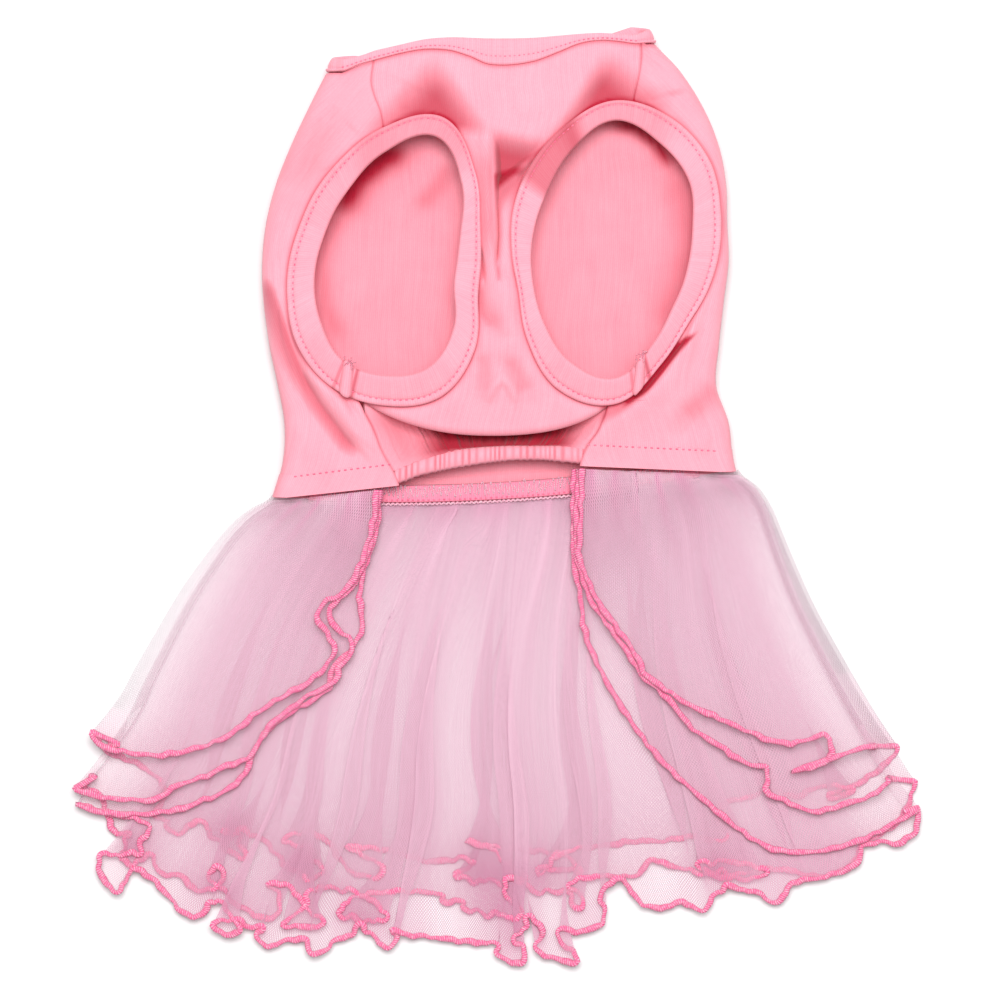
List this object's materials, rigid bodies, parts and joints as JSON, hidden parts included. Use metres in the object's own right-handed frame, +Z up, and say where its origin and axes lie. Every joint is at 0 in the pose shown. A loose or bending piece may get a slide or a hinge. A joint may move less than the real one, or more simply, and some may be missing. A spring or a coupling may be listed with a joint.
{
  "type": "dog dress",
  "caption": "Small dog's dress laid flat on its back: jersey bodice with bound armholes, elastic belly edge and a layered tulle skirt open along the belly.",
  "frame": {"origin": "middle of the dress's footprint, on the surface that it lies on", "axes": "+Y from the skirt's hem to the neck, +X to the right seen from above, +Z up from the surface, belly side up"},
  "size_m": [0.3388, 0.3725, 0.0247],
  "materials": {
    "jersey": "matte cotton jersey knit",
    "binding": "matte jersey binding, topstitched",
    "thread": "spun polyester thread with a slight sheen",
    "tulle": "soft nylon tulle net"
  },
  "bodies": {
    "root": {"back_panel": "jersey", "chest_panel": "jersey", "waist_hem": "jersey", "elastic_casing": "jersey", "neck_binding": "binding", "armhole_binding_left": "binding", "armhole_binding_right": "binding", "binding_joint_left": "binding", "binding_joint_right": "binding", "waist_seam": "thread", "skirt_outer": "tulle", "skirt_middle": "tulle", "skirt_inner": "tulle"}
  },
  "joints": []
}
